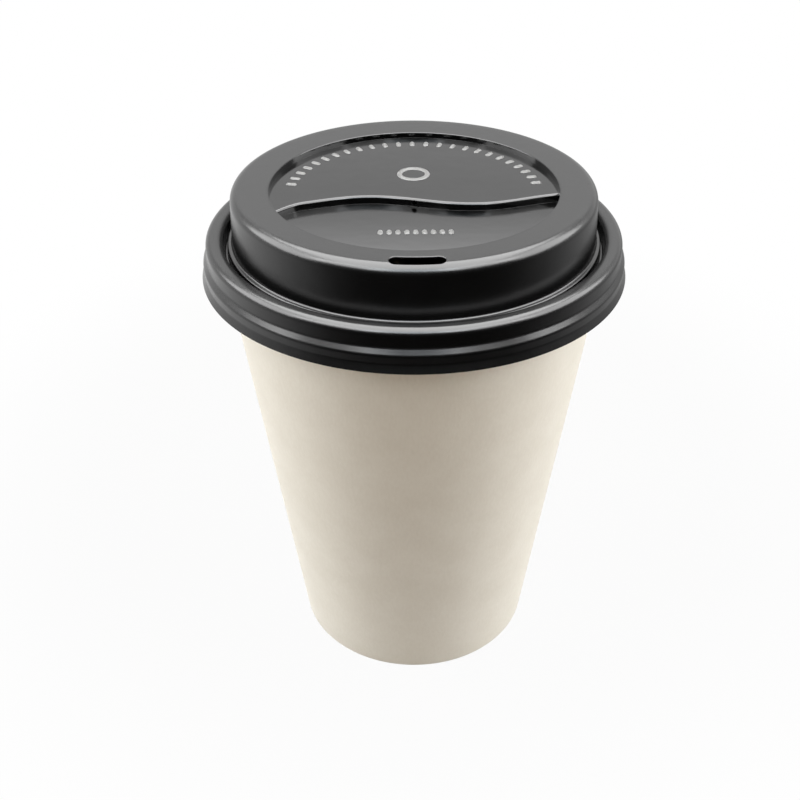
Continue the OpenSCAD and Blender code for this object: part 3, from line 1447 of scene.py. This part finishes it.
class TickTree(GeometryTree):
    """Sets one tick at equal steps along a guide line, square to it."""

    def __init__(self) -> None:
        """Build the tree, with named inputs for the number of ticks, the tick and its tilt."""
        sizes = {"Count": "NodeSocketInt", "Tick": "NodeSocketObject", "Tilt": "NodeSocketVector"}
        super().__init__("ticks along a line", sizes)
        line = self.node("GeometryNodeMeshToCurve", inputs={0: self.start.outputs["Geometry"]})
        inputs = {"Curve": line.outputs[0], "Count": self.given("Count")}
        steps = self.node("GeometryNodeCurveToPoints", {"mode": "COUNT"}, inputs)
        tangent = {"Vector": steps.outputs["Tangent"]}
        facing = self.node("FunctionNodeAlignRotationToVector", {"axis": "X"}, tangent)
        tick = self.node("GeometryNodeObjectInfo", inputs={"Object": self.given("Tick")})
        places = {
            "Points": steps.outputs["Points"],
            "Instance": tick.outputs["Geometry"],
            "Rotation": facing.outputs[0],
        }
        placed = self.node("GeometryNodeInstanceOnPoints", inputs=places)
        tilt = {"Instances": placed.outputs[0], "Rotation": self.given("Tilt")}
        self.end_with(self.node("GeometryNodeRotateInstances", inputs=tilt).outputs[0])


@dataclass(frozen=True)
class Marks:
    """The plain raised marks formed in the lid's two panels: an arc of ticks, a ring and a short row."""

    lid: Lid
    tick_count: int = 25
    tick_arc: float = 164.0
    tick_steps: int = 8
    row_count: int = 9
    ring_steps: int = 96
    guide_steps: int = 180
    flare: float = 0.16
    edge_r: float = 0.14
    side_turn: float = 65.0
    side_steps: int = 4
    sunk: float = 0.12

    def ridge(self) -> list[Point]:
        """Side of a mark in section.

        Returns:
            Distances in from its outer foot, each with the height over the panel.
        """
        foot = arc((0.0, self.flare), self.flare, -90, self.side_turn - 90, self.side_steps)
        middle = (foot[-1][0] + self.edge_r, self.lid.mark_h - self.edge_r)
        top = arc(middle, self.edge_r, 90 + self.side_turn, 90, self.side_steps)
        return [(0.0, -self.sunk), *foot, *top]

    def tick(self) -> bpy.types.Object:
        """Make one tick at the origin, with its length along Y and its base just under the panel.

        Returns:
            The tick.
        """
        straight = (self.lid.tick_l - self.lid.tick_w) / 2
        loops = []
        for inwards, z in self.ridge():
            radius = self.lid.tick_w / 2 + self.flare - inwards
            back = arc((0.0, straight), radius, 0, 180, self.tick_steps)
            front = arc((0.0, -straight), radius, 180, 360, self.tick_steps)
            loops.append([Vector((x, y, z)) for x, y in back + front])
        patches = Patches()
        patches.add_bands(loops)
        corners = range(len(loops[0]))
        last = len(patches.points) - len(corners)
        patches.faces += [list(corners)[::-1], [last + i for i in corners]]
        return patches.make("tick")

    def along(
        self, name: str, guide: list[Vector], count: int, tilt: float, material: bpy.types.Material
    ) -> bpy.types.Object:
        """Set ticks along a guide line.

        Args:
            name: Name of the piece.
            guide: Points of the line.
            count: Number of ticks.
            tilt: Angle in radians by which each tick leans back about X.
            material: The sheet's material.

        Returns:
            The piece.
        """
        tick = self.tick()
        line = new_object(name, guide, [(i, i + 1) for i in range(len(guide) - 1)], [])
        values = {"Count": count, "Tick": tick, "Tilt": (tilt, 0.0, 0.0), "Material": material}
        TickTree().apply_to(line, values)
        bpy.data.objects.remove(tick)
        return self.lid.turned(closed_up(line))

    def arc_ticks(self, material: bpy.types.Material) -> bpy.types.Object:
        """Make the ticks round the back panel.

        Args:
            material: The sheet's material.

        Returns:
            The ticks, as one piece.
        """
        radius = self.lid.recess_r - self.lid.tick_in
        ends = (90 - self.tick_arc / 2, 90 + self.tick_arc / 2)
        line = arc((0.0, self.lid.recess_y), radius, *ends, self.guide_steps)
        guide = [Vector((x, y, self.lid.back_z)) for x, y in line]
        return self.along("back_ticks", guide, self.tick_count, 0.0, material)

    def row_ticks(self, material: bpy.types.Material) -> bpy.types.Object:
        """Make the short row of ticks on the front panel.

        Args:
            material: The sheet's material.

        Returns:
            The ticks, as one piece.
        """
        y = -self.lid.row_in
        half = (self.row_count - 1) / 2 * self.lid.row_pitch
        z = self.lid.scoop_z(y, 0.0)
        slope = math.asin((y - self.lid.scoop_middle.x) / self.lid.scoop_r)
        guide = [Vector((-half, y, z)), Vector((half, y, z))]
        return self.along("front_ticks", guide, self.row_count, slope, material)

    def ring(self, material: bpy.types.Material) -> bpy.types.Object:
        """Make the plain ring on the back panel.

        Args:
            material: The sheet's material.

        Returns:
            The ring.
        """
        middle = (self.lid.ring_d - self.lid.tick_w) / 2
        half = self.lid.tick_w / 2 + self.flare
        outer = [(middle - half + inwards, z) for inwards, z in self.ridge()]
        inner = [(2 * middle - x, z) for x, z in reversed(outer)]
        section = [Vector(p) for p in outer + inner]
        values = {"Steps": self.ring_steps, "Material": material}
        ring = TurnTree().turn("back_ring", section, True, middle, values)
        at = Vector((0.0, self.lid.ring_back, self.lid.back_z)) * MM
        ring.data.transform(Matrix.Translation(at))
        return self.lid.turned(ring)


# ---- Studio -----------------------------------------------------------------------------------


class Lights(Enum):
    """What a lamp lights."""

    GLOSS = "reflections"
    MATT = "matt surfaces"


@dataclass(frozen=True)
class Softbox:
    """A soft lamp that hangs on a sphere round the top of the lid and looks at its middle.

    Its turn from behind the cup towards its right, its lift above the level, and its half width and
    half height as the middle sees them are in degrees. Lengths are in metres.
    """

    name: str
    turn: float
    lift: float
    wide: float
    high: float
    radiance: float
    lights: Lights = Lights.GLOSS
    colour: Colour = (1.0, 1.0, 1.0)
    middle: Place = (0.0, 0.0, 0.12)
    distance: float = 0.6
    matt_distance: float = 0.612

    def light(self) -> None:
        """Hang the lamp. One for matt surfaces hangs behind one for gloss at the same place."""
        gloss = self.lights is Lights.GLOSS
        distance = self.distance if gloss else self.matt_distance
        lamp = bpy.data.lights.new(self.name, "AREA")
        lamp.shape = "RECTANGLE"
        lamp.size, lamp.size_y = (2 * distance * math.tan(math.radians(a)) for a in (self.wide, self.high))
        lamp.energy = math.pi * self.radiance * lamp.size * lamp.size_y
        lamp.color = self.colour
        turn, lift = math.radians(self.turn), math.radians(self.lift)
        way = Vector((math.sin(turn) * math.cos(lift), math.cos(turn) * math.cos(lift), math.sin(lift)))
        obj = bpy.data.objects.new(self.name, lamp)
        obj.location = Vector(self.middle) + way * distance
        obj.rotation_euler = (-way).to_track_quat("-Z", "Y").to_euler()
        obj.visible_diffuse = not gloss
        obj.visible_glossy = gloss
        bpy.context.scene.collection.objects.link(obj)


@dataclass(frozen=True)
class Camera:
    """The camera, above the cup and in front of it.

    Its lens and sensor are in millimetres, its place in metres, and its tilt below the level in radians.
    """

    lens: float = 49.5
    sensor: float = 36.0
    shift: float = -0.0175
    nearest: float = 0.01
    at: Place = (0.0, -0.2239, 0.2147)
    tilt: float = 0.5975

    def place(self) -> None:
        """Make the camera and make it the scene's."""
        data = bpy.data.cameras.new("camera")
        data.lens = self.lens
        data.sensor_width = self.sensor
        data.shift_x = self.shift
        data.clip_start = self.nearest
        obj = bpy.data.objects.new("camera", data)
        obj.location = self.at
        obj.rotation_euler = (math.pi / 2 - self.tilt, 0.0, 0.0)
        bpy.context.scene.collection.objects.link(obj)
        bpy.context.scene.camera = obj


@dataclass(frozen=True)
class Studio:
    """A pale table in a white studio that is dark on the camera's side, with soft lamps.

    Lengths are in metres. Spans of the floor are shares of its radius, those of the world are parts of
    a direction of length 1, and its swing is in degrees.
    """

    floor_r: float = 0.2
    floor_y: float = 0.06
    floor_z: float = -0.02 * MM
    floor_steps: int = 128
    floor_grey: Colour = (0.35, 0.35, 0.35)
    floor_rough: float = 0.9
    floor_rim: Span = (0.45, 0.95)
    floor_white: float = 0.95
    floor_shade: Span = (0.0, 0.5)
    shade: float = 0.5
    ambient: Colour = (0.14, 0.105, 0.065)
    dark: float = 0.01
    swing: float = -8.0
    fade: Span = (-0.75, 0.35)
    shade_right: Span = (0.0, 0.35)
    shade_low: Span = (-0.15, 0.05)
    left_light: float = 6.4
    right_light: float = 6.75
    blue: Colour = (0.88, 0.95, 1.0)
    cool: Colour = (0.925, 0.955, 0.965)
    warm: Colour = (1.0, 0.82, 0.6)

    def shown(self, graph: Graph) -> Number:
        """1 for rays from the camera, from gloss and through glass, and 0 for the others.

        Args:
            graph: Tree of the material or the world.

        Returns:
            The number.
        """
        path = graph.node("ShaderNodeLightPath").outputs
        rays = [Number(graph, path[f"Is {kind} Ray"]) for kind in ("Camera", "Glossy", "Transmission")]
        return rays[0].greater(rays[1]).greater(rays[2])

    def floor(self) -> None:
        """Lay the table: white where it is shown, shaded by the object, dimmer in gloss on the right."""
        rim = circle((0.0, self.floor_y), self.floor_r, self.floor_steps)
        points = [(x / MM, y / MM, self.floor_z / MM) for x, y in rim]
        obj = new_object("floor", points, [], [list(range(len(points)))])
        dress = Dress("pale table")
        x, y, _ = dress.axes(dress.place)
        rim_start, rim_end = (share * self.floor_r for share in self.floor_rim)
        rim_near = x.length_with(y - self.floor_y).ramp(rim_start, rim_end)
        matt = {"Roughness": self.floor_rough, "Specular IOR Level": 0.0}
        dress.feed(dress.shader, {"Base Color": (*self.floor_grey, 1.0), **matt})
        glossy = dress.number("ShaderNodeLightPath", output="Is Glossy Ray")
        shade_start, shade_end = (share * self.floor_r for share in self.floor_shade)
        strength = 1 - glossy * x.ramp(shade_start, shade_end) * self.shade
        white = dress.node("ShaderNodeEmission", inputs={"Color": WHITE, "Strength": strength})
        share = self.shown(dress) * (self.floor_white + rim_near * (1 - self.floor_white))
        shaders = {0: share, 1: dress.shader.outputs[0], 2: white.outputs[0]}
        mixed = dress.node("ShaderNodeMixShader", inputs=shaders)
        dress.feed(dress.tree.nodes["Material Output"], {"Surface": mixed.outputs[0]})
        obj.data.materials.append(dress.material)

    def world(self) -> None:
        """Surround the table: white behind the object, and dark in gloss on the camera's side."""
        world = bpy.data.worlds.new("studio")
        world.use_nodes = True
        bpy.context.scene.world = world
        graph = Graph(world.node_tree)
        world.node_tree.nodes.clear()
        x, y, z = graph.axes(graph.node("ShaderNodeTexCoord").outputs["Generated"])
        swing = math.radians(self.swing)
        back = y * math.cos(swing) + x * math.sin(swing)
        camera = graph.number("ShaderNodeLightPath", output="Is Camera Ray")
        right = x.ramp(*self.shade_right) * (1 - z.ramp(*self.shade_low))
        white = (back.ramp(*self.fade, self.dark, 1.0) * (1 - right * self.shade)).greater(camera)
        shown = graph.node("ShaderNodeBackground", inputs={"Color": WHITE, "Strength": white})
        dim = {"Color": (*self.ambient, 1.0), "Strength": 1.0}
        unshown = graph.node("ShaderNodeBackground", inputs=dim)
        inputs = {0: self.shown(graph), 1: unshown.outputs[0], 2: shown.outputs[0]}
        mixed = graph.node("ShaderNodeMixShader", inputs=inputs)
        graph.node("ShaderNodeOutputWorld", inputs={"Surface": mixed.outputs[0]})

    def lamps(self) -> None:
        """Hang the lamps: overhead, in front, behind, at the front corners and on each side.

        Those named glow light matt surfaces, and the others show in gloss.
        """
        glow = partial(Softbox, lights=Lights.MATT)
        Softbox("overhead", turn=0, lift=90, wide=38, high=38, radiance=7.8).light()
        glow("overhead_glow", turn=0, lift=90, wide=38, high=38, radiance=0.3).light()
        Softbox("front", turn=180, lift=40, wide=22, high=10, radiance=7.0, colour=self.blue).light()
        glow("front_glow", turn=180, lift=2, wide=22, high=16, radiance=0.5, colour=self.warm).light()
        Softbox("behind", turn=0, lift=31, wide=35, high=5, radiance=0.6).light()
        glow("behind_glow", turn=0, lift=10, wide=30, high=16, radiance=1.8, colour=self.cool).light()
        for side, way, lit in (("left", -1, self.left_light), ("right", 1, self.right_light)):
            Softbox(f"front_{side}", turn=138 * way, lift=37, wide=20, high=11, radiance=6.0).light()
            Softbox(side, turn=92 * way, lift=30, wide=26, high=18, radiance=5.5).light()
            aim = {"turn": 95 * way, "lift": 20, "wide": 26, "high": 18}
            glow(f"{side}_glow", **aim, radiance=lit, colour=self.cool).light()

    def build(self) -> None:
        """Set the stage, the lamps and the camera."""
        bpy.context.scene.view_settings.view_transform = "Standard"
        self.floor()
        self.world()
        self.lamps()
        Camera().place()


# ---- Whole object -----------------------------------------------------------------------------


def main() -> None:
    """Build the cup, the lid and the studio."""
    logging.basicConfig(level=logging.INFO, format="%(name)s %(message)s")
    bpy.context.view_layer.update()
    _, wall_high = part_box("side_wall")
    disc_low, disc_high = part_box("base_disc")
    lid_low, lid_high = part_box("lid")

    cup = Cup(wall_high.z / MM, wall_high.x / MM, disc_high.z / MM, disc_low.z / MM)
    board = BoardFinish("cup board").make(cup.filmed)
    settle(cup.side_wall(board), Body.CUP, Slot.BOARD, "side_wall")
    settle(cup.base_disc(board), Body.CUP, Slot.BOARD, "base_disc")

    lid = Lid(cup, lid_high.z / MM, lid_low.z / MM, lid_high.x / MM)
    finish = SheetFinish("lid sheet", lid.recess_y, lid.recess_r)
    settle(lid.shell(finish.make()), Body.LID, Slot.SHEET, "lid")
    # The marks get the pale sheet, which is in part a painted highlight for their glint.
    whitened_with_painted_glint = finish.whitened_with_painted_glint().make()
    marks = Marks(lid)
    for mark in (marks.arc_ticks(whitened_with_painted_glint), marks.row_ticks(whitened_with_painted_glint), marks.ring(whitened_with_painted_glint)):
        settle(mark, Body.LID, Slot.SHEET)

    Studio().build()


if __name__ == "__main__":
    main()
